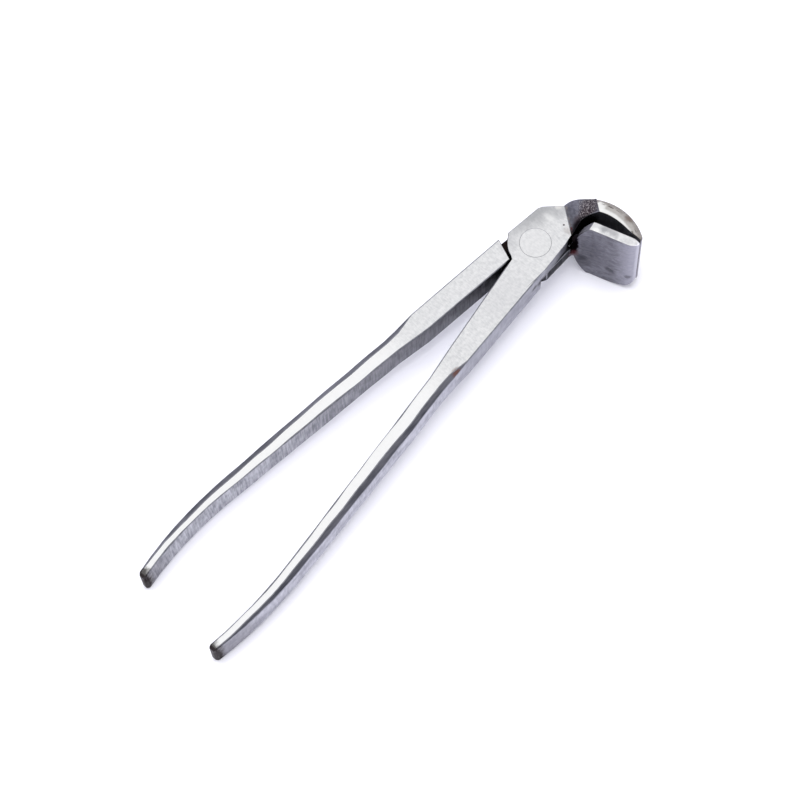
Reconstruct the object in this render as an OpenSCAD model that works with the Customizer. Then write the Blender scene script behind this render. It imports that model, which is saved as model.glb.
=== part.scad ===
// Leather gluing pliers: two riveted levers with tall jaws set across the handles.
// Origin at the rivet's centre, in the seam between the lap plates. +X points to the jaws,
// +Z runs up the rivet, and the lower lever's handle lies on the +Y side.

/* [Joint] */
// Thickness of the bar, which is both lap plates together
bar_t = 12.5; // [10:0.1:15]
// Clearance between the two lap plates
seam_gap = 0.1; // [0.06:0.01:0.2]
// Radius that the lower lap plate fills on the jaw side
lap_r = 12.7; // [12:0.1:13.2]
// Clearance round the lap plate, to the upper neck
lap_gap = 0.5; // [0.4:0.1:1]
// Radius of the hollow in each plate that faces the other lever's shoulder
notch_r = 10.5; // [10:0.1:10.8]
// Clearance from a plate to the other lever's shoulder
shoulder_gap = 1; // [0.8:0.1:1.6]
// Turn of the shoulders away from square to the handles
shoulder_turn = 22; // [18:1:26]
// Distance from the rivet to the far edge of each lap plate
plate_far = 10.3; // [9.8:0.1:10.6]
// Distance from the rivet to the near edge of the upper plate
plate_near = 8.8; // [8.2:0.1:9.2]
// Distance from the rivet to the near edge of the lower plate
lower_edge = 9.6; // [9:0.1:9.8]

/* [Rivet] */
// Diameter of the rivet's shank
rivet_d = 8; // [6:0.1:9]
// Diameter of the rivet's flush heads
rivet_head_d = 12; // [10.5:0.1:13]
// Depth of the countersunk heads
rivet_head_t = 2; // [1.5:0.1:3]
// Radial running clearance in the lower lever
rivet_run = 0.05; // [0.02:0.01:0.1]
// Radial clearance in the upper lever, where the rivet is tight
rivet_tight = 0.01; // [0.005:0.005:0.02]

/* [Handles] */
// Length of the upper lever's handle behind the rivet
upper_handle = 192.7; // [170:0.1:220]
// Length of the lower lever's handle behind the rivet
lower_handle = 190; // [170:0.1:220]
// Sideways distance from the rivet to the line midway between the handles
mid_y = 1.1; // [0.5:0.1:2]
// Sideways place of the crotch, where the handles part
crotch_y = 2.2; // [1.8:0.1:2.6]
// Distance of the crotch behind the rivet
crotch_s = 12; // [11.6:0.1:13]
// Slit between the two levers at the crotch
crotch_gap = 0.3; // [0.2:0.05:0.6]
// Distance behind the rivet at which the flat shank ends and the grip begins
shank_end = 52; // [40:1:60]
// Length of the step down from the shank to the grip
step_len = 14; // [8:1:20]
// Half of the space between the handles where the shank ends
shank_space = 5.3; // [4.5:0.1:8]
// Width of the upper lever's shank at the crotch
upper_shank_w = 12.6; // [10:0.1:13]
// Width of the lower lever's shank at the crotch
lower_shank_w = 9.1; // [8:0.1:11]
// Width of either shank where it ends
shank_w = 8.8; // [7:0.1:10]
// Width of the grip where it begins
grip_w = 6.9; // [5:0.1:8]
// Width of the grip at the tip
tip_w = 3.1; // [2:0.1:4]
// Splay of the step, from the line midway between the handles
step_splay = 10; // [8:0.5:13]
// Splay of the grip, from the line midway between the handles
grip_splay = 6.6; // [4:0.1:10]
// Length at the end of the handle that curves back in
curl_len = 42; // [30:1:55]
// Radius of that curve on the upper lever
upper_curl_r = 185; // [140:5:260]
// Radius of that curve on the lower lever
lower_curl_r = 150; // [120:5:260]
// Width of the ground bevel on the grip's outer edges, seen from above
bevel_w = 1.9; // [1:0.1:2.4]
// Depth of that bevel, down the side
bevel_t = 1.4; // [0.8:0.1:2.5]
// Distance behind the rivet at which the upper lever's bevel begins to fade
upper_bevel_fade = 140; // [100:1:160]
// Distance behind the rivet at which the lower lever's bevel begins to fade
lower_bevel_fade = 160; // [100:1:165]
// Share of the bevel that is gone at the tip
bevel_loss = 0.8; // [0.4:0.05:0.85]
// Broken edge on the rest of the handle
edge_break = 0.3; // [0.2:0.05:0.5]
// Rounding of the blunt tips
tip_round = 1; // [0.5:0.1:1.2]

/* [Jaws] */
// Height of both jaws, along the rivet
jaw_h = 37.4; // [30:0.2:46]
// Distance from the rivet to the lips, square to the handles
jaw_reach = 32; // [30:0.5:34]
// Place of the lips ahead of the rivet
lip_x = 21.3; // [20.8:0.1:21.8]
// Gap between the lips as the pliers lie
lip_gap = 0.3; // [0.2:0.05:0.8]
// Angle of the flat jaw to the handles
jaw_angle = 73.6; // [71:0.1:76]
// Length of the flat jaw's inner face
flat_jaw_l = 17.6; // [16.6:0.1:18]
// Thickness of the flat jaw
flat_jaw_t = 3.6; // [3:0.1:4.2]
// Rounding of the flat jaw's upper corner at the lip
jaw_top_corner = 3; // [1:0.5:6]
// Length of the flat jaw's long round corner below, along the jaw
jaw_low_run = 12; // [3:0.5:14]
// Height of that corner
jaw_low_rise = 6.5; // [2:0.5:9]
// Radius of the claw's outer face
claw_r = 20.7; // [20:0.1:21.6]
// Distance of the claw's centre of curvature behind the lips
claw_back = 15.2; // [14.6:0.1:15.8]
// Distance of the claw's centre of curvature from the lips, square to the handles
claw_up = 12.4; // [11.8:0.1:13]
// Rounding of the claw's outer corner at the lip
claw_nose_r = 1.8; // [1:0.1:2]
// Depth of the flat land behind the claw's lip
lip_land = 4.5; // [3:0.1:6]
// Thickness of the claw at the middle
claw_t = 5; // [4:0.1:5.6]
// Width of the bevel along the claw's outer edges, seen from above
claw_bevel_w = 1.8; // [0.5:0.1:2.5]
// Depth of that bevel, down the claw's outside
claw_bevel_t = 0.8; // [0.4:0.1:2]

/* [Necks] */
// Direction in which the upper neck leaves the joint, below the handles' line
neck_turn = 37; // [35:0.5:39]
// Length of the upper neck, from the plate to the jaw
upper_neck_l = 11; // [9:0.5:11.5]
// Width of the upper neck where it leaves the plate
upper_neck_w = 12.9; // [11.5:0.1:13.5]
// Direction of the upper neck's outer wall where it leaves the plate
neck_wall_turn = 26; // [20:1:32]
// Place on the claw's outer arc where the neck's outer wall runs into it
claw_top_turn = 30; // [27:1:33]
// Swelling of the slope up the upper neck
upper_swell = 0.4; // [0:0.1:2]
// Radius of the round throat inside the upper neck
throat_r = 5.8; // [5:0.1:6]
// Place of the throat ahead of the claw's centre of curvature
throat_ahead = 8.4; // [8:0.1:8.8]
// Place of the throat beside the claw's centre of curvature
throat_up = 5.6; // [5.2:0.1:6]
// Clearance between the lower neck and the upper lever
neck_gap = 0.6; // [0.5:0.1:1]
// Direction in which the lower neck leaves the joint, below the handles' line
lower_neck_turn = 80; // [77:1:83]
// Distance from the rivet at which the lower neck begins to flare
lower_flare_u = 12; // [11.4:0.1:12.6]
// Length of the lower neck's flare
lower_neck_l = 5; // [4:0.1:5.6]
// Swelling of the slope up the lower neck
lower_swell = 0.8; // [0:0.1:1.4]

/* [Hidden] */
$fn = 96;
far = 300;
half_t = bar_t / 2;
half_seam = seam_gap / 2;
half_jaw = jaw_h / 2;

// The neck's plane on the upper lever stands clear of the lower lap plate, and a flat rim
// lies between that plane and the slope up the neck
neck_u = lap_r + lap_gap;
neck_rim = 0.6;
neck_dir = [cos(neck_turn), -sin(neck_turn)];
neck_side = [sin(neck_turn), cos(neck_turn)];
neck_near = (neck_u + neck_rim / 2) * neck_dir;
neck_far = neck_near + upper_neck_w * neck_side;
shoulder_d = notch_r + shoulder_gap;
weld_u = neck_u + upper_neck_l;
lower_weld_u = lower_flare_u + lower_neck_l;

// Lips, and the flat jaw's inner face through them
lip = [lip_x, -jaw_reach];
jaw_dir = [-cos(jaw_angle), sin(jaw_angle)];
jaw_out = [-sin(jaw_angle), -cos(jaw_angle)];
claw_lip = lip - lip_gap * jaw_out;
flat_root = lip + flat_jaw_l * jaw_dir;

// Centre of the claw's outer arc, and the point where the neck's outer wall runs into it
claw_c = [lip_x - claw_back, claw_up - jaw_reach];
claw_start = claw_c + claw_r * [cos(claw_top_turn), sin(claw_top_turn)];
// Centre of the round corner at the claw's lip
nose_y = claw_nose_r - jaw_reach;
nose_c = [claw_c[0] + sqrt(pow(claw_r - claw_nose_r, 2) - pow(nose_y - claw_c[1], 2)), nose_y];
nose_turn = atan2(nose_c[1] - claw_c[1], nose_c[0] - claw_c[0]);
// Deepest place of the claw's hollow face, and the throat that it runs up to
hollow_x = claw_c[0] + claw_r - claw_t;
throat_c = claw_c + [throat_ahead, throat_up];
throat_top = throat_c + [1.5, throat_r];

// Directions from the rivet between which each plate's hollow runs, and its end on the far edge
hollow_from = 160;
hollow_to = 114;
hollow_end = 3.6;
// Corners of the upper plate: two beside the claw, one on the near edge, one at the crotch
plate_corner = [11.4, plate_far - 1.6];
plate_end = [13, plate_far - 2.4];
plate_near_corner = [7, -plate_near];
upper_crotch = [1.2 - crotch_s, crotch_y];
lower_crotch = [0.3 - crotch_s, crotch_y + crotch_gap];
// The lower neck's root inside its lap plate, and its run out past the plate's near edge
lower_neck_root = [[lap_r - 1.8, -5], [4, -5], [5, 1 - lower_edge]];
lower_neck_out = [[9.6, -lower_edge - 0.4], [10.4, -lower_edge - 1.4]];
// The lower neck's side towards the throat
lower_neck_in = [throat_c + [-0.2, 2.8], throat_c + [-1.2, 4.2]];

// Each plate reaches into its handle by a tail, set in from the handle's sides
upper_tail = crotch_s + 4;
lower_tail = crotch_s + 2;
tail_inset = 0.5;
lower_far_inset = 0.6;
// The handle's solid begins beside the rivet, inside the lap plate
root_s = 6;

// Point on a line from a to b
function blend(a, b, t) = a + (b - a) * t;
function clamp01(t) = max(0, min(1, t));
// Smooth curve from a to d, drawn towards b and c on the way
function curve(a, b, c, d, n) = [for (k = [0:n]) let(t = k / n, u = 1 - t)
    u * u * u * a + 3 * u * u * t * b + 3 * u * t * t * c + t * t * t * d];
// Arc about a centre
function arc(c, r, a0, a1, n) = [for (k = [0:n]) let(a = blend(a0, a1, k / n))
    c + r * [cos(a), sin(a)]];

// How far the countersunk holes' cutters run on past the plates' faces
head_past = 1;
// The flat jaw's long low corner, from the lip; the claw's lies ahead of it and a little lower
low_corner = [for (k = [0:10]) [
    jaw_low_run * (sin(9 * k) - 1), jaw_low_rise * (1 - cos(9 * k)) - half_jaw
]];
claw_ahead = 0.6;
claw_dip = 0.05;

// Inner face of a handle, measured from the midway line, at s behind the rivet
step_s = shank_end + step_len;
grip_start = shank_space + step_len * tan(step_splay);
upper_root = mid_y - crotch_y;
lower_root = crotch_y + crotch_gap - mid_y;
function curl_drop(s, tip_s, curl_r) = let(c = max(0, s - (tip_s - curl_len)))
    curl_r - sqrt(curl_r * curl_r - c * c);
function inner(s, root, tip_s, curl_r) =
    s < shank_end ? blend(root, shank_space, (s - crotch_s) / (shank_end - crotch_s)) :
    s < step_s ? shank_space + (s - shank_end) * tan(step_splay) :
    grip_start + (s - step_s) * tan(grip_splay) - curl_drop(s, tip_s, curl_r);

// Width of a handle at s
function grip_taper(s, tip_s) = pow(clamp01((s - step_s) / (tip_s - step_s)), 1.5);
function width(s, root_w, tip_s) =
    s < shank_end ? blend(root_w, shank_w, (s - crotch_s) / (shank_end - crotch_s)) :
    s < step_s ? blend(shank_w, grip_w, (s - shank_end) / step_len) :
    blend(grip_w, tip_w, grip_taper(s, tip_s));

// Share of the bevel that is cut at s: full before the step's end, fading to the tip
function bevel_share(s, tip_s, fade_s) = clamp01(1.6 * (s - shank_end) / step_len)
    * (1 - bevel_loss * pow(clamp01((s - fade_s) / (tip_s - fade_s)), 1.5));

// One eight-sided section of a handle, with t taken off all round at the tip
function ring(s, root, root_w, tip_s, curl_r, fade_s, t) =
    let(
        in = inner(s, root, tip_s, curl_r) + t,
        out = in + width(s, root_w, tip_s) - 2 * t,
        top = half_t - t,
        bw = max(edge_break, bevel_w * bevel_share(s, tip_s, fade_s)),
        bt = max(edge_break, bevel_t * bevel_share(s, tip_s, fade_s))
    )
    [
        [-s, in + edge_break, top], [-s, out - bw, top],
        [-s, out, top - bt], [-s, out, bt - top],
        [-s, out - bw, -top], [-s, in + edge_break, -top],
        [-s, in, edge_break - top], [-s, in, top - edge_break]
    ];

// Places of a handle's sections, closer together where it curves
function stations(tip_s) = concat(
    [root_s, crotch_s, shank_end, shank_end + step_len * 0.6, step_s],
    [for (k = [1:4]) blend(step_s, tip_s - curl_len, k / 4)],
    [for (k = [1:6]) blend(tip_s - curl_len, tip_s - tip_round, k / 6)]
);

// A handle on the +Y side of the midway line
module handle(root, root_w, tip_s, curl_r, fade_s) {
    body = [for (s = stations(tip_s)) ring(s, root, root_w, tip_s, curl_r, fade_s, 0)];
    tip = ring(tip_s, root, root_w, tip_s, curl_r, fade_s, tip_round * 0.6);
    rings = concat(body, [tip]);
    n = 8;
    last = len(rings) - 1;
    points = [for (r = rings, p = r) p];
    sides = [for (i = [0:last - 1], j = [0:n - 1])
        [i * n + j, (i + 1) * n + j, (i + 1) * n + (j + 1) % n, i * n + (j + 1) % n]];
    polyhedron(
        points,
        concat([[for (j = [0:n - 1]) j]], sides, [[for (j = [n - 1:-1:0]) last * n + j]])
    );
}

// Everything that lies d or more from the rivet in the direction a
module beyond(a, d) {
    rotate(a) translate([d, -far]) square(2 * far);
}

module short_of(a, d) {
    rotate(a) translate([d - 2 * far, -far]) square(2 * far);
}

// Cutters for the swelling slopes up and down a neck, from u0 to u1 in direction a
module slope_cuts(a, u0, u1, swell) {
    run = [u1 - u0, half_jaw - half_t];
    up = [-run[1], run[0]] / norm(run);
    slope = [for (k = [0:8]) let(t = k / 8)
        [u0, half_t] + t * run + 4 * t * (1 - t) * swell * up];
    for (m = [0, 1]) mirror([0, 0, m]) rotate(a) rotate([90, 0, 0])
        linear_extrude(2 * far, center = true)
            polygon(concat([[u0 - far, half_t]], slope, [[u1, far], [u0 - far, far]]));
}

// Upper lap plate, neck and claw seen from above, a little larger than the claw's round outside
module upper_plan() {
    tail_y = mid_y - inner(upper_tail, upper_root, upper_handle, upper_curl_r);
    root_y = mid_y - inner(root_s, upper_root, upper_handle, upper_curl_r)
        - width(root_s, upper_shank_w, upper_handle);
    leave = [cos(neck_wall_turn), -sin(neck_wall_turn)];
    arrive = [-sin(claw_top_turn), cos(claw_top_turn)];
    nose = arc(nose_c, claw_nose_r, nose_turn, -90, 6);
    polygon(concat(
        [[-upper_tail, tail_y - tail_inset], upper_crotch],
        arc([0, 0], notch_r, hollow_from, hollow_to, 6),
        [[-hollow_end, plate_far], plate_corner, plate_end],
        curve(neck_far, neck_far + 4 * leave, claw_start + 4 * arrive, claw_start, 12),
        arc(claw_c, claw_r + 2, claw_top_turn - 8, nose_turn + 8, 8),
        [for (p = nose) [max(p[0], claw_lip[0] + 0.05), p[1]]],
        [claw_lip],
        curve(
            claw_lip + [0, lip_land], [hollow_x + 0.8, throat_c[1] - 6.5],
            [hollow_x + 1, throat_c[1] + 1.5], throat_top, 16
        ),
        [neck_near, plate_near_corner, [-root_s, root_y], [-upper_tail, root_y + tail_inset]]
    ));
}

// Lower lap plate, neck and flat jaw seen from above; the jaw's nose is a quarter-round
module lower_plan() {
    tail_y = mid_y + inner(lower_tail, lower_root, lower_handle, lower_curl_r);
    root_y = mid_y + inner(root_s, lower_root, lower_handle, lower_curl_r)
        + width(root_s, lower_shank_w, lower_handle);
    turn = atan2(jaw_out[1], jaw_out[0]);
    wall = throat_top - neck_near;
    intersection() {
        circle(lap_r);
        polygon(concat(
            [lower_crotch],
            arc([0, 0], notch_r, -hollow_from, -hollow_to, 6),
            [[-hollow_end, -lower_edge], [far, -lower_edge], [far, plate_far]],
            [[lower_crotch[0], plate_far]]
        ));
    }
    polygon([
        [-lower_tail, tail_y + tail_inset], lower_crotch, [0, lower_crotch[1]],
        [0, plate_far], [-root_s, root_y], [-lower_tail, root_y - lower_far_inset]
    ]);
    intersection() {
        polygon(concat(
            [flat_root],
            lower_neck_in,
            lower_neck_root,
            lower_neck_out,
            [flat_root + flat_jaw_t * jaw_out],
            arc(lip + flat_jaw_t * jaw_dir, flat_jaw_t, turn, turn + 90, 8)
        ));
        // The neck keeps clear of the upper lever's neck and throat
        union() {
            translate(throat_c) circle(throat_r - neck_gap);
            translate(neck_near) rotate(atan2(wall[1], wall[0]))
                translate([-far, -neck_gap - far]) square([far + norm(wall), far]);
            translate([-far, throat_c[1] - far]) square([2 * far, far]);
        }
    }
}

// A handle cut back to its shoulder on the half that the other plate fills
module shouldered(a, root, root_w, tip_s, curl_r, fade_s, side) {
    difference() {
        translate([0, mid_y, 0]) mirror([0, side < 0 ? 1 : 0, 0])
            handle(root, root_w, tip_s, curl_r, fade_s);
        mirror([0, 0, side < 0 ? 1 : 0]) translate([0, 0, -half_seam]) linear_extrude(far)
            short_of(a, shoulder_d);
    }
}

// The rivet, extra wider all round; as a cutter its heads run on past the plates' faces
module rivet_solid(extra, past) {
    r = rivet_d / 2 + extra;
    head_t = rivet_head_t + past;
    slant = (rivet_head_d - rivet_d) / 2 / rivet_head_t;
    cylinder(r = r, h = bar_t, center = true);
    for (m = [0, 1]) mirror([0, 0, m]) translate([0, 0, half_t - rivet_head_t])
        cylinder(r1 = r, r2 = r + slant * head_t, h = head_t);
}

// Upper lap plate and neck, with room below the plate for the other one
module upper_head() {
    difference() {
        linear_extrude(jaw_h, center = true) intersection() {
            upper_plan();
            short_of(-neck_turn, weld_u);
        }
        slope_cuts(-neck_turn, neck_u + neck_rim, weld_u, upper_swell);
        translate([0, 0, half_seam - far]) linear_extrude(far) short_of(-neck_turn, neck_u);
    }
}

// Lower lap plate and neck: above the seam it stays outside the upper plate's sweep
module lower_head() {
    difference() {
        linear_extrude(jaw_h, center = true) intersection() {
            lower_plan();
            short_of(-lower_neck_turn, lower_weld_u);
        }
        slope_cuts(-lower_neck_turn, lower_flare_u, lower_weld_u, lower_swell);
        translate([0, 0, -half_seam]) cylinder(r = neck_u + lap_gap, h = far);
        translate([-far, -far / 2, -half_seam]) cube(far);
    }
}

module upper_lever() {
    color("#c9cacd") difference() {
        union() {
            upper_head();
            shouldered(
                shoulder_turn - 180, upper_root, upper_shank_w,
                upper_handle, upper_curl_r, upper_bevel_fade, -1
            );
        }
        rivet_solid(rivet_tight, head_past);
    }
}

module lower_lever() {
    color("#b9babf") difference() {
        union() {
            lower_head();
            shouldered(
                180 - shoulder_turn, lower_root, lower_shank_w,
                lower_handle, lower_curl_r, lower_bevel_fade, 1
            );
        }
        rivet_solid(rivet_run, head_past);
    }
}

module pivot_rivet() {
    color("#d5d6d8") rivet_solid(0, 0);
}

// Round outside of the claw, with both its outer edges bevelled along the arc
module claw_blank() {
    face_r = claw_r - claw_bevel_w;
    side_z = half_jaw - claw_bevel_t;
    translate(claw_c) rotate_extrude() polygon([
        [0, -half_jaw], [face_r, -half_jaw], [claw_r, -side_z],
        [claw_r, side_z], [face_r, half_jaw], [0, half_jaw]
    ]);
}

// A side view of the jaws, drawn square to the flat jaw's face from the lip, made a solid
module side_view() {
    translate([lip[0], lip[1], 0]) rotate(-jaw_angle) rotate([90, 0, 0])
        linear_extrude(far, center = true) children();
}

// The claw's low corner at the lip is taken off like the flat jaw's
module upper_jaw() {
    color("#a9a9af") intersection() {
        claw_blank();
        linear_extrude(jaw_h + 2, center = true) intersection() {
            upper_plan();
            beyond(-neck_turn, weld_u);
        }
        side_view() polygon(concat(
            [[claw_ahead, far], [-far, far], [-far, -half_jaw - claw_dip]],
            [for (p = low_corner) p + [claw_ahead, -claw_dip]]
        ));
    }
}

// The flat jaw's round corners are at the lip, the long one below
module lower_jaw() {
    color("#8d8c94") intersection() {
        linear_extrude(jaw_h + 2, center = true) intersection() {
            lower_plan();
            beyond(-lower_neck_turn, lower_weld_u);
        }
        side_view() polygon(concat(
            [[-far, half_jaw], [-far, -half_jaw]],
            low_corner,
            arc([-jaw_top_corner, half_jaw - jaw_top_corner], jaw_top_corner, 0, 90, 8)
        ));
    }
}

upper_lever();
lower_lever();
pivot_rivet();
upper_jaw();
lower_jaw();
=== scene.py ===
# Leather gluing pliers, dressed for Blender 4.5: metres, in the frame of the CAD model.
from math import cos, pi, radians, sin

import bmesh
import bpy
from mathutils import Matrix, Vector, noise


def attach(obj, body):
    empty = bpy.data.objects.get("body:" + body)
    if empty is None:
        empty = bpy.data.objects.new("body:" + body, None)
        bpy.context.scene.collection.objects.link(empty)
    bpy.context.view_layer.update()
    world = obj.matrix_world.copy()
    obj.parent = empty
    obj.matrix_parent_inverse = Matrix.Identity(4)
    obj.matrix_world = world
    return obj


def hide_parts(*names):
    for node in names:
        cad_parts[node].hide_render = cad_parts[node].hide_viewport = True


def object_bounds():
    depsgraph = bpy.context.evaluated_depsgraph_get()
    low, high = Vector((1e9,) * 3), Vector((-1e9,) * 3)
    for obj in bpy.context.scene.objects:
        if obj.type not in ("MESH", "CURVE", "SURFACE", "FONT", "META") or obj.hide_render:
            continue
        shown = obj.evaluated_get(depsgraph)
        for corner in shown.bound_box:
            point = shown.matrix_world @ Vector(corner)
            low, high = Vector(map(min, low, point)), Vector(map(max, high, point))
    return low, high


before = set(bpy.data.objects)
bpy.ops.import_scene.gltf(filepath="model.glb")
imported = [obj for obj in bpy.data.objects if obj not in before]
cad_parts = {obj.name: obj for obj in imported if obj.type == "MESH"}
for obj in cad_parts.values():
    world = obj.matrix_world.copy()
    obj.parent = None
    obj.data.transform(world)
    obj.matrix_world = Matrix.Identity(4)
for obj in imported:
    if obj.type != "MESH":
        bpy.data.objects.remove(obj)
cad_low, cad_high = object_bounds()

# Lengths are in mm unless a comment says otherwise, and times MM where Blender takes metres
MM = 0.001
BAR_TOP = 6.25                   # half of the bar's thickness
JAW_TOP = 18.7                   # half of the jaws' height
RIVET_R = 6.0                    # radius of the rivet's heads
SHANK_R = 4.0                    # radius of the rivet's shank
HEAD_T = 2.0                     # depth of the rivet's heads
CLAW_CENTRE = (6.1, -19.6, 0.0)  # on the axis of the claw's curve
LIP = (21.3, -32.0, 0.0)         # where the two lips meet
# The planes in which the jaws are welded on: which way each faces, and its distance
# from the rivet's axis
UPPER_WELD = (radians(-37), 24.2)
LOWER_WELD = (radians(-80), 17.0)


# Materials

MIX_A, MIX_B, MIX_RESULT = 6, 7, 2   # the colour sockets of a Mix node
WOBBLE_SIZE = (2.0, 2.0, 2.0)        # waves in a stain's ragged border
WOBBLE_DETAIL = 5.0
MOTTLE_DETAIL, MOTTLE_SEED = 4.0, (0.0, 0.0, 0.0)
MARK_DETAIL, MARK_SEED = 3.0, (7.0, 3.0, 1.0)
PIT_DETAIL, PIT_SEED = 2.0, (5.0, 5.0, 5.0)
SPECK_DETAIL, SPECK_SEED = 1.0, (9.0, 2.0, 4.0)
# Noise lies round 0.5: the two values of it between which each pattern goes from 0 to 1
MOTTLE_RISE = (0.3, 0.7)
MARK_RISE = (0.25, 0.75)
PIT_RISE = (0.46, 0.36)
SPECK_RISE = (0.56, 0.66)
PIT_DEPTH = 2.0                      # in heights of the tool marks
# Added to the roughness where the steel is darkest, and taken off where it is palest
ROUGHER, SMOOTHER = 0.08, 0.05
# Linear brightness of soot, and of the darkest steel that is clean of it
SOOT, CLEAN = 0.01, 0.07


def linear(hex_colour):
    """sRGB hex to the linear colour that Blender's sockets take."""
    parts = [int(hex_colour[i:i + 2], 16) / 255 for i in (1, 3, 5)]
    rgb = [c / 12.92 if c <= 0.04045 else ((c + 0.055) / 1.055) ** 2.4 for c in parts]
    return rgb + [1.0]


def add(tree, kind, inputs, output=0, **settings):
    """Add one node and return an output: inputs maps a socket to a value or to an output."""
    node = tree.nodes.new(kind)
    for name, value in settings.items():
        setattr(node, name, value)
    for key, value in inputs.items():
        if isinstance(value, bpy.types.NodeSocket):
            tree.links.new(value, node.inputs[key])
        else:
            node.inputs[key].default_value = value
    return node.outputs[output]


def pattern(tree, size, detail, seed, rise=None, warp=0.0):
    """Noise over the object, in spots of about that size along x, y and z.

    With rise, it goes from 0 to 1 while the noise goes from the first value to the second.
    """
    place = add(tree, "ShaderNodeMapping", {
        "Vector": add(tree, "ShaderNodeTexCoord", {}, "Object"),
        "Location": seed,
        "Scale": [1 / (length * MM) for length in size],
    })
    value = add(tree, "ShaderNodeTexNoise", {
        "Vector": place, "Scale": 1.0, "Detail": detail, "Roughness": 0.6, "Distortion": warp,
    })
    if rise:
        value = add(tree, "ShaderNodeMapRange", {
            "Value": value, "From Min": rise[0], "From Max": rise[1],
        }, interpolation_type="SMOOTHSTEP")
    return value


def zone(tree, strength, centre, radius, soft, ragged, squeeze=(1.0, 1.0, 1.0)):
    """Share that falls from strength to 0 at a radius round a centre.

    soft and ragged say how far the border spreads and wanders. Distances are multiplied by
    squeeze along x, y and z, so 0.5 makes the zone twice as long there, and 0 endless.
    """
    away = add(tree, "ShaderNodeVectorMath", {
        0: add(tree, "ShaderNodeTexCoord", {}, "Object"), 1: [c * MM for c in centre],
    }, operation="SUBTRACT")
    away = add(tree, "ShaderNodeVectorMath", {0: away, 1: squeeze}, operation="MULTIPLY")
    distance = add(tree, "ShaderNodeVectorMath", {0: away}, "Value", operation="LENGTH")
    if ragged:
        wobble = add(tree, "ShaderNodeMath", {
            0: pattern(tree, WOBBLE_SIZE, WOBBLE_DETAIL, centre), 1: 0.5,
        }, operation="SUBTRACT")
        distance = add(tree, "ShaderNodeMath", {
            0: wobble, 1: 2 * ragged * MM, 2: distance,
        }, operation="MULTIPLY_ADD")
    return add(tree, "ShaderNodeMapRange", {
        "Value": distance, "From Min": (radius - soft) * MM, "From Max": (radius + soft) * MM,
        "To Min": strength, "To Max": 0.0,
    }, interpolation_type="SMOOTHSTEP")


def steel(name, dark, light, mottle, marks, marks_share, rough, bump, stains=(), pits=None,
          warp=0.0):
    """Bare steel, mottled from dark to light, with drawn-out tool marks, stains and pits.

    mottle and marks are the sizes of the spots and of the tool marks along x, y and z,
    marks_share is the marks' part in the colour, and bump is their height.
    """
    material = bpy.data.materials.new(name)
    material.use_nodes = True
    tree = material.node_tree
    shader = tree.nodes["Principled BSDF"]
    shader.inputs["Metallic"].default_value = 1.0

    spots = pattern(tree, mottle, MOTTLE_DETAIL, MOTTLE_SEED, MOTTLE_RISE, warp)
    height = pattern(tree, marks, MARK_DETAIL, MARK_SEED, MARK_RISE, warp)
    paleness = add(tree, "ShaderNodeMix", {"Factor": marks_share, "A": spots, "B": height})
    layers = [(paleness, light)]
    layers += [(zone(tree, strength, *where), tone) for strength, tone, *where in stains]
    if pits:
        size, pit_tone, speck_tone, *where = pits
        pitted = zone(tree, 1.0, *where)
        depth = add(tree, "ShaderNodeMath", {
            0: pattern(tree, [size] * 3, PIT_DETAIL, PIT_SEED, PIT_RISE), 1: pitted,
        }, operation="MULTIPLY")
        specks = add(tree, "ShaderNodeMath", {
            0: pattern(tree, [size] * 3, SPECK_DETAIL, SPECK_SEED, SPECK_RISE), 1: pitted,
        }, operation="MULTIPLY")
        layers += [(depth, pit_tone), (specks, speck_tone)]
        height = add(tree, "ShaderNodeMath", {
            0: depth, 1: -PIT_DEPTH, 2: height,
        }, operation="MULTIPLY_ADD")
    colour = linear(dark)
    for share, tone in layers:
        colour = add(tree, "ShaderNodeMix", {
            0: share, MIX_A: colour, MIX_B: linear(tone),
        }, MIX_RESULT, data_type="RGBA")

    # Soot swallows the glancing light that clean steel throws back
    glance = add(tree, "ShaderNodeMapRange", {
        "Value": colour, "From Min": SOOT, "From Max": CLEAN,
    }, interpolation_type="SMOOTHSTEP")
    roughness = add(tree, "ShaderNodeMapRange", {
        "Value": paleness, "To Min": rough + ROUGHER, "To Max": rough - SMOOTHER,
    }, interpolation_type="SMOOTHSTEP")
    relief = add(tree, "ShaderNodeBump", {
        "Strength": 1.0, "Distance": bump * MM, "Height": height,
    })
    for socket, value in (
        ("Base Color", colour), ("Specular Tint", glance), ("Roughness", roughness),
        ("Normal", relief),
    ):
        tree.links.new(value, shader.inputs[socket])
    return material


# A stain is its strength and its colour, then its centre, radius, softness, raggedness and
# squeeze, as zone takes them. A later stain lies over an earlier one.

# Soot and scale on the blunt tips, left from the forge
tips = [
    (0.9, "#2c2523", (x, y, 0.0), 5.0, 1.2, 2.4, (1.0, 0.4, 0.3))
    for x, y in ((-191.5, 19.0), (-194.3, -19.0))
]
# One brown spot where the upper lever's grip begins
rust = [(0.75, "#70483e", (-57.8, -12.9, 5.9), 1.7, 0.9, 1.6)]
# Black and rust-brown round the joint: grime, and painted shade in the crotch between the
# levers and in the clefts by the plates
grime_and_shade = [
    (0.92, "#231a18", (-6.5, 8.0, 0.0), 4.4, 1.2, 1.0, (1.0, 1.0, 0.5)),
    (0.95, "#101014", (-11.0, 2.4, 0.0), 3.4, 1.6, 1.0, (1.0, 1.0, 0.3)),
    (0.95, "#151013", (10.2, -9.4, 2.5), 2.3, 0.8, 0.8, (1.0, 1.0, 0.35)),
    (0.85, "#4a2a2c", (9.8, -10.6, -3.4), 1.5, 0.8, 1.0, (0.7, 1.0, 0.6)),
]
# Painted shade inside the throat, between the upper neck and the jaws
throat_shade = [(0.92, "#131013", (14.6, -12.0, 8.0), 6.5, 1.6, 1.2, (1.0, 1.0, 0.6))]
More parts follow.
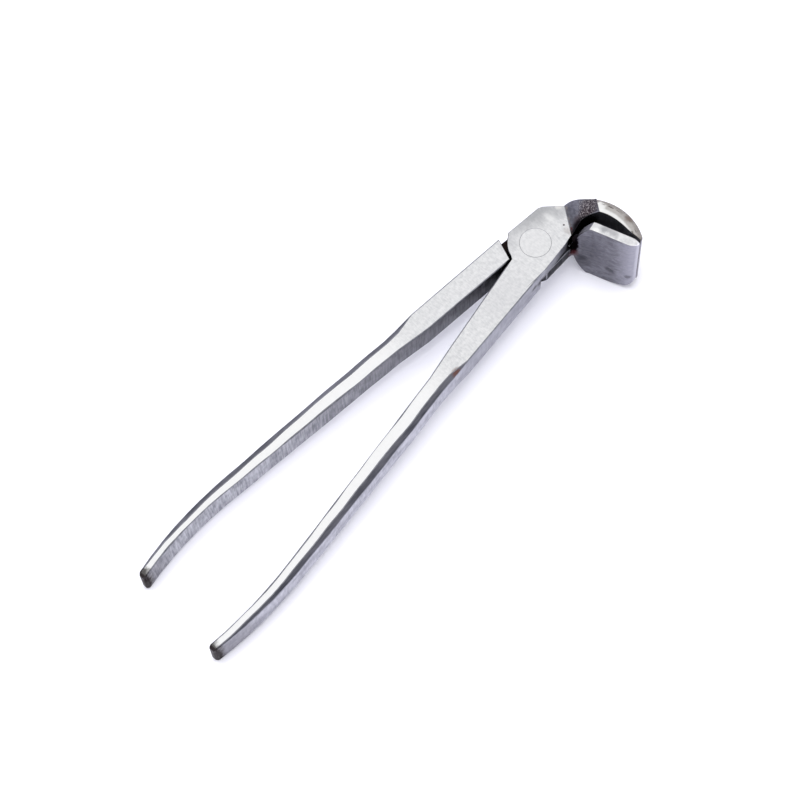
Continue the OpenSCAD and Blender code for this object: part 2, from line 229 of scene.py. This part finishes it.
# A faint satin patch over the rivet's head and the plate round it
plate_satin = (0.4, "#eaeaec", (0.0, 0.0, BAR_TOP), 6.0, 3.0, 1.5)

# Belt-ground carbon steel on both levers' flat faces: satin and nearly white, whitest on the
# grips. The plate greys towards its far edge
ground = steel(
    "belt_ground_steel", "#d3d4d7", "#f2f2f4", mottle=(1.3, 1.3, 1.3), marks=(0.5, 2.2, 2.2),
    marks_share=0.5, rough=0.34, bump=0.005,
    stains=[
        plate_satin,
        (0.65, "#97989d", (12.4, 8.4, BAR_TOP), 6.0, 4.5, 2.0, (0.7, 1.1, 1.0)),
        (0.4, "#a4a5aa", (15.6, 1.2, BAR_TOP), 2.6, 1.6, 1.5),
        (0.45, "#9c9da3", (2.0, 10.4, BAR_TOP), 4.6, 3.0, 1.5, (0.6, 1.2, 1.0)),
        (0.3, "#a9aab0", (-7.0, 7.4, BAR_TOP), 3.0, 2.0, 1.5),
        (0.5, "#f8f8f9", (11.1, 2.7, BAR_TOP), 1.3, 1.1, 1.2, (1.0, 0.6, 1.0)),
        (0.6, "#f2efec", (17.0, 3.4, BAR_TOP), 1.1, 0.7, 0.9),
        (0.95, "#3a2c2b", (12.5, -3.1, BAR_TOP), 0.4, 0.12, 0.35),
        (0.35, "#8b7a74", (11.6, -5.6, BAR_TOP), 1.4, 0.9, 1.4),
        (0.25, "#cfcfd3", (-24.0, -6.0, BAR_TOP), 7.0, 4.0, 3.0, (0.7, 1.2, 1.0)),
        (0.8, "#fcfcfd", (-138.0, 0.0, 0.0), 74.0, 10.0, 0.0, (1.0, 0.5, 0.5)),
    ] + tips + rust,
)
# Forge skin on the lower lever's sides: paler on the grip, in upright hammer and file streaks,
# and painted nearly black by the joint as shade in the narrow gap between the levers
forged = steel(
    "forge_skin_with_painted_shade", "#6f7079", "#c6c6cd", mottle=(5.0, 5.0, 5.0),
    marks=(0.7, 0.7, 9.0), marks_share=0.65, rough=0.42, bump=0.03,
    stains=[
        # Painted shade, darkest by the joint, where the gap between the levers is narrow
        (0.75, "#4a4a52", (-20.0, 0.0, 0.0), 80.0, 45.0, 5.0, (1.0, 0.5, 0.5)),
        (0.8, "#242429", (-8.0, 0.0, 0.0), 30.0, 22.0, 3.0, (1.0, 0.5, 0.5)),
        (0.5, "#5a575f", (-188.0, 19.0, 0.0), 10.0, 5.0, 3.0, (1.0, 0.4, 0.4)),
    ] + tips + grime_and_shade,
)
# Forge skin on the upper lever's sides: softly clouded, pale partly as a painted reflection of
# the white floor, and darker beside the joint
forged_pale = steel(
    "forge_skin_with_painted_reflection", "#8c8c97", "#c1c1ca", mottle=(9.0, 9.0, 4.0), marks=(1.2, 1.2, 6.0),
    marks_share=0.45, rough=0.42, bump=0.02,
    stains=[
        (0.55, "#6f6d74", (-186.0, -20.0, 1.0), 12.0, 7.0, 3.0, (1.0, 0.5, 1.0)),
    ] + tips + [
        (0.65, "#82828c", (-30.0, -12.0, 0.0), 27.0, 10.0, 3.0, (1.0, 0.5, 0.5)),
        (0.75, "#4a4a54", (8.0, -9.0, 2.0), 9.0, 5.0, 2.0),
        (0.5, "#5a5a64", (-3.5, -9.6, -1.0), 6.0, 4.0, 2.0),
        (0.9, "#25242b", (-7.9, -10.3, 0.0), 1.7, 0.9, 1.2, (0.7, 0.7, 1.0)),
        (0.85, "#2d2b33", (-12.4, -10.9, 1.0), 1.3, 0.8, 1.1, (0.8, 0.8, 1.0)),
        (0.8, "#3a3840", (-14.6, -12.7, BAR_TOP), 1.2, 0.8, 1.0),
        (0.6, "#55555e", (-130.0, -22.0, -3.0), 2.0, 1.0, 1.5),
    ] + grime_and_shade + throat_shade,
)
# Filed bevels along the grips, with file marks drawn along the bar: painted darker than the
# faces, as shade for the dark surroundings that the tilted bevels would mirror
bevel_painted_dark = steel(
    "filed_bevel_painted_dark", "#42434c", "#73737d", mottle=(14.0, 4.0, 4.0), marks=(7.0, 0.6, 0.6),
    marks_share=0.35, rough=0.36, bump=0.01, stains=tips + rust,
)
# Broken corners, painted a fine dull line as the shade that an edge seen aslant shows: darker
# along the plate's far edge, and black with the grime and painted shade round the joint
corner = steel(
    "corner_line_painted_shade", "#6f7079", "#9d9ea6", mottle=(3.0, 3.0, 3.0), marks=(2.0, 2.0, 2.0),
    marks_share=0.4, rough=0.4, bump=0.002,
    stains=[
        (0.75, "#3c3c43", (2.0, 9.6, BAR_TOP), 10.0, 3.0, 0.0, (1.0, 1.6, 1.0)),
    ] + tips + grime_and_shade + throat_shade,
)
# The upper neck, filed round: blue-grey, painted dark as shade on slopes that turn from the
# light, with a thin strip of tint colours along the plate, and pitted and brown in front of the
# claw
tint_strip = [
    (0.6, tint, (x, y, 6.6), radius, 0.5, 0.9, (1.0, 0.7, 0.7))
    for x, y, radius, tint in (
        (17.8, 1.6, 0.9, "#a2958c"), (16.4, -0.4, 0.7, "#8d8480"),
        (15.0, -2.4, 0.8, "#a89b91"), (13.6, -4.4, 0.7, "#877872"),
        (12.2, -6.4, 0.9, "#6a4a45"), (10.9, -8.4, 1.1, "#a3917f"),
    )
]
necked = steel(
    "neck_tint_and_painted_shade", "#4e4e58", "#7b7b85", mottle=(3.5, 3.5, 3.5), marks=(0.6, 1.8, 1.8),
    marks_share=0.55, rough=0.38, bump=0.012,
    stains=tint_strip + [
        (0.85, "#5a2026", (12.7, -6.1, 7.0), 0.6, 0.3, 0.5),
        (0.8, "#6a2f33", (14.7, -6.9, 7.0), 0.7, 0.4, 0.6),
        (0.5, "#4b3a3c", (15.6, -7.6, 9.6), 2.6, 1.4, 1.2),
        (0.8, "#2c2226", (17.6, -9.0, 13.6), 3.6, 1.6, 1.6),
        (0.7, "#382c32", (20.6, -8.2, 15.5), 4.4, 2.0, 2.0),
        # Painted shade inside the throat
        (0.92, "#131013", (14.6, -12.0, 8.0), 5.6, 1.0, 1.2, (1.0, 1.0, 0.6)),
    ],
    # The pits' size and colour, the bright specks' colour, and where they are
    pits=(0.34, "#231b1f", "#b3adaf", (20.8, -7.4, 15.4), 5.2, 2.2, 2.5),
)
# The claw's filed edge: white along the mouth, greyer in the middle and brown towards the
# outside, with a painted highlight at the seam
claw_mouth = (0.92, "#f4f4f4", CLAW_CENTRE, 17.3, 0.5, 0.5, (1.0, 1.0, 0.0))
claw_edge = steel(
    "filed_claw_edge", "#868180", "#aca7a5", mottle=(1.4, 1.4, 1.4), marks=(0.6, 0.6, 0.6),
    marks_share=0.45, rough=0.34, bump=0.01,
    stains=[
        (0.7, "#c6c3c1", CLAW_CENTRE, 19.0, 0.7, 1.4, (1.0, 1.0, 0.0)),
        claw_mouth,
        # A painted highlight at the seam
        (0.9, "#f8f8f8", (22.0, -11.6, JAW_TOP), 2.2, 0.9, 1.4),
        (0.7, "#8f8587", (24.1, -8.8, JAW_TOP), 1.5, 0.6, 1.6),
        (0.7, "#71615a", (25.4, -23.0, JAW_TOP), 1.5, 0.8, 1.0),
        (0.8, "#3a3433", (21.7, -27.4, JAW_TOP), 0.5, 0.2, 0.4),
    ],
)
# The claw's broken corners: a fine brown-black line outside, painted as shade on the rounded
# edge, and white along the mouth
claw_corner = steel(
    "claw_corner_painted_shade", "#4f4947", "#6d6663", mottle=(2.0, 2.0, 2.0), marks=(0.8, 0.8, 0.8),
    marks_share=0.4, rough=0.36, bump=0.004, stains=[claw_mouth],
)
# The claw's curved skin: dull and dark, filed brighter near the lip, with painted shade in the
# throat and round the joint
claw_skin = steel(
    "filed_claw_skin", "#4f4f58", "#7d7d87", mottle=(6.0, 6.0, 8.0), marks=(1.2, 1.2, 5.0),
    marks_share=0.4, rough=0.42, bump=0.015,
    stains=[(0.8, "#acabb5", LIP, 6.0, 3.0, 0.5, (1.0, 1.0, 0.0))] + grime_and_shade + throat_shade,
)
# The flat jaw and its neck: dull grey steel, paler at the lip, with rubbed swirls, smears and
# dark patches, and painted shade in the corner where the neck meets the jaw and in the cleft by
# the plate
jaw_skin = steel(
    "dull_jaw_steel", "#57565f", "#7b7a84", mottle=(3.0, 3.0, 1.6), marks=(3.5, 3.5, 0.5),
    marks_share=0.4, rough=0.45, bump=0.012, warp=0.8,
    stains=[
        (0.75, "#a09fab", LIP, 6.5, 4.0, 1.5, (1.0, 1.0, 0.0)),
        (0.4, "#5b5a65", (13.2, -17.4, 6.0), 4.8, 3.0, 2.5, (1.0, 1.0, 0.7)),
        # Painted shade in the corner where the neck meets the jaw's face
        (0.6, "#34333b", (11.9, -12.9, -9.0), 3.2, 1.8, 1.8, (1.0, 1.0, 0.8)),
        (0.8, "#36353e", (15.2, -24.0, -8.3), 1.9, 1.0, 1.4, (1.0, 1.0, 1.2)),
        (0.6, "#4c4b56", (15.4, -24.6, -0.5), 1.6, 1.0, 1.6, (0.6, 0.6, 1.8)),
        (0.35, "#54535e", (14.2, -20.6, -4.0), 3.6, 2.4, 2.4, (0.8, 0.8, 1.8)),
        (0.7, "#45444e", (17.3, -31.0, -8.4), 1.3, 0.7, 1.0),
        # Painted shade in the corner where the neck meets the jaw's face, and in the cleft by
        # the plate
        (0.75, "#38373f", (12.0, -13.1, -5.9), 1.9, 1.0, 1.6),
        (0.5, "#3c3b44", (12.6, -15.0, 0.0), 4.0, 2.4, 2.0, (1.0, 1.0, 0.4)),
        (0.95, "#17131a", (10.6, -9.4, 5.0), 2.4, 0.6, 0.8, (1.0, 1.0, 0.28)),
        (0.7, "#bab9c4", LIP, 2.0, 0.6, 0.2, (1.0, 1.0, 0.0)),
    ] + grime_and_shade,
)
# The flat jaw's filed top rim: nearly white, with two grey scuffs and a painted highlight at
# its left end
jaw_rim = steel(
    "filed_jaw_rim", "#d3d3d6", "#f4f4f6", mottle=(2.2, 2.2, 2.2), marks=(1.5, 1.5, 0.5),
    marks_share=0.35, rough=0.32, bump=0.01,
    stains=[
        (0.6, "#86878d", (16.0, -19.1, JAW_TOP), 1.4, 0.8, 1.0),
        (0.55, "#97979d", (17.0, -22.4, JAW_TOP), 1.8, 1.0, 1.2, (1.6, 0.8, 1.0)),
        # A painted highlight at the rim's left end
        (0.9, "#fcfcfc", (13.4, -17.2, JAW_TOP), 1.3, 0.6, 0.6),
    ],
)
# The rivet's head, ground together with the plate, so that only its seam shows
rivet_head = steel(
    "ground_rivet_head", "#d5d6d9", "#f3f3f5", mottle=(1.3, 1.3, 1.3), marks=(0.5, 2.2, 2.2),
    marks_share=0.5, rough=0.34, bump=0.005, stains=[plate_satin],
)
# The fine seam round the head: nearly lost under painted light on one side, dark with painted
# shade on the other
rivet_seam_lit_and_shaded = steel(
    "rivet_seam_lit_and_shaded", "#84858b", "#a2a3a8", mottle=(1.0, 1.0, 1.0), marks=(1.0, 1.0, 1.0),
    marks_share=0.5, rough=0.4, bump=0.002,
    stains=[
        (0.85, "#dedee1", (4.2, 4.2, 0.0), 5.0, 2.0, 1.0, (1.0, 1.0, 0.0)),
        (0.8, "#5c5d64", (-4.6, -3.8, 0.0), 4.0, 2.0, 1.0, (1.0, 1.0, 0.0)),
    ],
)


# Pieces

MERGE = 2e-6                     # metres: closer points of a CAD mesh are one
SNAP = 1e-6                      # metres: a cut goes through a point this close to it
COPLANAR = radians(0.3)          # faces at a smaller angle become one
CREASE = radians(24)             # a sharper edge is broken, and stays sharp in the shading
TOUCH = 0.02                     # what is this close to a plane lies in it
NEAR = 0.1                       # so close to the bar's top or the rivet's hole counts as there
BREAK, JAW_BREAK = 0.2, 0.35     # width of a broken edge, and of the flat jaw's softer ones

GRIP_START = -64.0               # x where the grips' edges begin to wander
UPPER_GRIP_END, LOWER_GRIP_END = -188.0, -186.0
GRIP_STEP = 2.5                  # between the cuts that let the edges wander
RUN_IN = 12.0                    # over which the wander sets in at either end
TOP_WANDER, SIDE_WANDER = 0.35, 0.15
WAVE = 9.0                       # length of the wander's waves
LANE = 0.5                       # points within this height wander together
LANE_GAP = 7.3                   # from one lane to the next in the noise, so that they differ
OFF_GRID = 0.5                   # noise is 0 at whole numbers


def finished(piece, node, body):
    """Let a finished piece stand for its CAD node, on the node's body."""
    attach(piece, body)
    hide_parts(node)


def linked(name, shape):
    """A scene object from a bmesh, smooth but for its sharp edges."""
    mesh = bpy.data.meshes.new(name)
    shape.to_mesh(mesh)
    shape.free()
    for face in mesh.polygons:
        face.use_smooth = True
    mesh.set_sharp_from_angle(angle=CREASE)
    piece = bpy.data.objects.new(name, mesh)
    bpy.context.scene.collection.objects.link(piece)
    return piece


def cut_across(shape, x):
    """Cut a mesh across the bar at x, in metres, and return the parts in the cut."""
    return bmesh.ops.bisect_plane(
        shape, geom=shape.verts[:] + shape.edges[:] + shape.faces[:],
        plane_co=(x, 0, 0), plane_no=(1, 0, 0), dist=SNAP,
    )["geom_cut"]


def wander_edges(shape, start, end):
    """Let a grip's edges wander a little between two places along x, as forged ones do."""
    start, end, step, run_in = start * MM, end * MM, GRIP_STEP * MM, RUN_IN * MM
    for k in range(int((start - end) / step)):
        cut_across(shape, start - k * step)
    for vert in shape.verts:
        x, y, z = vert.co
        if end < x < start:
            fade = min(1.0, (start - x) / run_in, (x - end) / run_in)
            reach = TOP_WANDER if abs(z) > (BAR_TOP - NEAR) * MM else SIDE_WANDER
            lane = round(z / (LANE * MM))
            swing = noise.noise(Vector((x / (WAVE * MM), lane * LANE_GAP, OFF_GRID)))
            vert.co.y = min(max(y + fade * reach * MM * swing, cad_low[1]), cad_high[1])


def dressed(node, body, materials, choose, weld, edge, edge_material=None, grip=None):
    """A merged copy of a CAD node with broken edges, which stands for the node.

    choose names the material of a face by its place in mm and its normal, edge is the width
    of the broken edges, and grip is where along x the wander starts and ends.
    """
    shape = bmesh.new()
    shape.from_mesh(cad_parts[node].data)
    bmesh.ops.remove_doubles(shape, verts=shape.verts, dist=MERGE)
    # A cut through the rivet's axis is kept, so that no face closes over the rivet's hole
    for part in cut_across(shape, 0):
        if isinstance(part, bmesh.types.BMEdge):
            part.seam = True
    bmesh.ops.dissolve_limit(
        shape, angle_limit=COPLANAR, verts=shape.verts, edges=shape.edges, delimit={"SEAM"},
    )
    if grip:
        wander_edges(shape, *grip)
    # Every sharp edge is broken, except along a weld and in the rivet's hole
    facing, distance = weld
    weight = shape.edges.layers.float.new("bevel_weight_edge")
    for line in shape.edges:
        at_weld = all(
            abs(v.co.x * cos(facing) + v.co.y * sin(facing) - distance * MM) < TOUCH * MM
            for v in line.verts
        )
        in_hole = all(v.co.xy.length < (RIVET_R + NEAR) * MM for v in line.verts)
        sharp = line.is_manifold and line.calc_face_angle(0.0) > CREASE
        line[weight] = 1.0 if sharp and not at_weld and not in_hole else 0.0
    piece = linked(node + "_steel", shape)
    for material in materials.values():
        piece.data.materials.append(material)
    names = list(materials)
    for face in piece.data.polygons:
        face.material_index = names.index(choose(face.center / MM, face.normal))
    bevel = piece.modifiers.new("broken_edge", "BEVEL")
    bevel.width = edge * MM
    bevel.segments = 2
    bevel.limit_method = "WEIGHT"
    bevel.use_clamp_overlap = False
    bevel.material = names.index(edge_material) if edge_material else -1
    normals = piece.modifiers.new("flat_faces", "WEIGHTED_NORMAL")
    normals.keep_sharp = True
    finished(piece, node, body)


# Where one finish ends and the next begins, by x and y, and by how far a face turns from
# upright (0) to level (1)
LEVEL = 0.99
BEVEL_TILT = 0.3
NECK_TILT = 0.1
CLAW_EDGE_TILT = 0.2
RIM_TILT = 0.35
GRIP_X = -20.0                   # behind this a tilted face is a filed bevel
UPPER_NECK_X = 12.5
THROAT_X = 15.0
LOWER_PLATE_X = 9.0
LOWER_NECK_X, LOWER_NECK_Y = 6.0, -9.0


def in_bar_face(place, normal):
    """Whether a face lies in the bar's flat top or underside."""
    return abs(abs(place.z) - BAR_TOP) < TOUCH and abs(normal.z) > LEVEL


def side_or_bevel(place, normal):
    return "bevel" if abs(normal.z) > BEVEL_TILT and place.x < GRIP_X else "side"


def upper_lever_face(place, normal):
    if in_bar_face(place, normal):
        return "ground"
    if place.x > UPPER_NECK_X and abs(normal.z) > NECK_TILT:
        return "neck"
    if place.x > THROAT_X:
        return "skin"
    return side_or_bevel(place, normal)


def lower_lever_face(place, normal):
    if place.x < LOWER_PLATE_X and in_bar_face(place, normal):
        return "ground"
    if place.x > LOWER_NECK_X and (abs(place.z) > BAR_TOP - NEAR or place.y < LOWER_NECK_Y):
        return "neck"
    return side_or_bevel(place, normal)


def claw_face(place, normal):
    return "edge" if abs(normal.z) > CLAW_EDGE_TILT else "skin"


def flat_jaw_face(place, normal):
    return "rim" if normal.z > RIM_TILT else "skin"


dressed(
    "upper_lever", "upper_half",
    {"ground": ground, "side": forged_pale, "bevel": bevel_painted_dark, "neck": necked,
     "skin": claw_skin, "corner": corner},
    upper_lever_face, UPPER_WELD, BREAK, "corner", grip=(GRIP_START, UPPER_GRIP_END),
)
dressed(
    "lower_lever", "lower_half",
    {"ground": ground, "side": forged, "bevel": bevel_painted_dark, "neck": jaw_skin, "corner": corner},
    lower_lever_face, LOWER_WELD, BREAK, "corner", grip=(GRIP_START, LOWER_GRIP_END),
)
dressed(
    "upper_jaw", "upper_half",
    {"edge": claw_edge, "skin": claw_skin, "corner": claw_corner},
    claw_face, UPPER_WELD, BREAK, "corner",
)
dressed(
    "lower_jaw", "lower_half", {"rim": jaw_rim, "skin": jaw_skin},
    flat_jaw_face, LOWER_WELD, JAW_BREAK,
)

# The rivet, turned from its half section, with a broken corner round each head
RIVET_CORNER = 0.15
TURN_STEPS = 96
half_section = [
    (0.0, BAR_TOP), (RIVET_R - RIVET_CORNER, BAR_TOP), (RIVET_R, BAR_TOP - RIVET_CORNER),
    ((RIVET_R + SHANK_R) / 2, BAR_TOP - HEAD_T / 2), (SHANK_R, BAR_TOP - HEAD_T),
]
section = half_section + [(radius, -height) for radius, height in reversed(half_section)]
shape = bmesh.new()
rings = []
for radius, height in section:
    count = TURN_STEPS if radius else 1
    rings.append([
        shape.verts.new((radius * MM * cos(2 * pi * k / count),
                         radius * MM * sin(2 * pi * k / count), height * MM))
        for k in range(count)
    ])
for upper_ring, lower_ring in zip(rings, rings[1:]):
    for k in range(TURN_STEPS):
        corners = []
        for ring, place in ((upper_ring, k), (lower_ring, k), (lower_ring, k + 1),
                            (upper_ring, k + 1)):
            # A pole is one point, so a face there has three corners
            vert = ring[place % len(ring)]
            if vert not in corners:
                corners.append(vert)
        shape.faces.new(corners)
bmesh.ops.recalc_face_normals(shape, faces=shape.faces)
rivet = linked("pivot_rivet_steel", shape)
rivet.data.materials.append(rivet_head)
rivet.data.materials.append(rivet_seam_lit_and_shaded)
for face in rivet.data.polygons:
    face.material_index = 0 if abs(face.normal.z) > LEVEL else 1
finished(rivet, "pivot_rivet", "upper_half")


# Floor, light and camera

# The pliers lie on the jaws' lower edges and the handles' tips, so the floor slopes here,
# through a point just under each
REST_FRONT = Vector((12.4, 0, -18.72)) * MM
REST_BACK = Vector((-192.7, 0, -6.28)) * MM
FLOOR_REACH = 3.0                # metres each way
# Found from the photograph's rivet head and upright jaw edge
CAMERA_PLACE = Vector((-308.6, -250.6, 837.85)) * MM
CAMERA_RIGHT = Vector((0.6718, -0.7400, -0.0340))
CAMERA_UP = Vector((0.6954, 0.6142, 0.3731))
CAMERA_LENS, CAMERA_SENSOR = 111.6, 36.0
SOFTBOX_PLACE = Vector((-0.1, 0.12, 1.2))    # metres
SOFTBOX_AIM = Vector((-0.06, 0, 0))          # metres
SOFTBOX_SIZE, SOFTBOX_POWER = 0.8, 10.0      # metres and watts

floor_material = bpy.data.materials.new("white_paper_floor")
floor_material.use_nodes = True
floor_shader = floor_material.node_tree.nodes["Principled BSDF"]
floor_shader.inputs["Base Color"].default_value = linear("#f3f3fc")
floor_shader.inputs["Roughness"].default_value = 0.9
floor_shader.inputs["Specular IOR Level"].default_value = 0.0

along = (REST_FRONT - REST_BACK).normalized()
floor_mesh = bpy.data.meshes.new("floor")
floor_mesh.from_pydata(
    [REST_FRONT + along * FLOOR_REACH * i + Vector((0, FLOOR_REACH * j, 0))
     for i, j in ((-1, -1), (1, -1), (1, 1), (-1, 1))],
    [], [(0, 1, 2, 3)],
)
floor_mesh.materials.append(floor_material)
floor = bpy.data.objects.new("floor", floor_mesh)
bpy.context.scene.collection.objects.link(floor)

world = bpy.data.worlds.new("studio")
world.use_nodes = True
bpy.context.scene.world = world
backdrop = world.node_tree.nodes["Background"]
backdrop.inputs["Color"].default_value = linear("#ffffff")
backdrop.inputs["Strength"].default_value = 1.0

# The softbox lights the floor and leaves a soft shadow. The steel doesn't mirror it, only the
# white studio
softbox_light = bpy.data.lights.new("softbox", "AREA")
softbox_light.shape = "DISK"
softbox_light.size = SOFTBOX_SIZE
softbox_light.energy = SOFTBOX_POWER
softbox = bpy.data.objects.new("softbox", softbox_light)
softbox.visible_glossy = False
softbox.location = SOFTBOX_PLACE
softbox.rotation_euler = (SOFTBOX_AIM - SOFTBOX_PLACE).to_track_quat("-Z", "Y").to_euler()
bpy.context.scene.collection.objects.link(softbox)

camera_data = bpy.data.cameras.new("camera")
camera_data.sensor_width = CAMERA_SENSOR
camera_data.lens = CAMERA_LENS
camera_data.clip_start = 0.01
camera = bpy.data.objects.new("camera", camera_data)
back = CAMERA_RIGHT.cross(CAMERA_UP).normalized()
up = back.cross(CAMERA_RIGHT).normalized()
turned = Matrix((CAMERA_RIGHT, up, back)).transposed().to_4x4()
camera.matrix_world = Matrix.Translation(CAMERA_PLACE) @ turned
bpy.context.scene.collection.objects.link(camera)
bpy.context.scene.camera = camera
bpy.context.scene.view_settings.view_transform = "Standard"
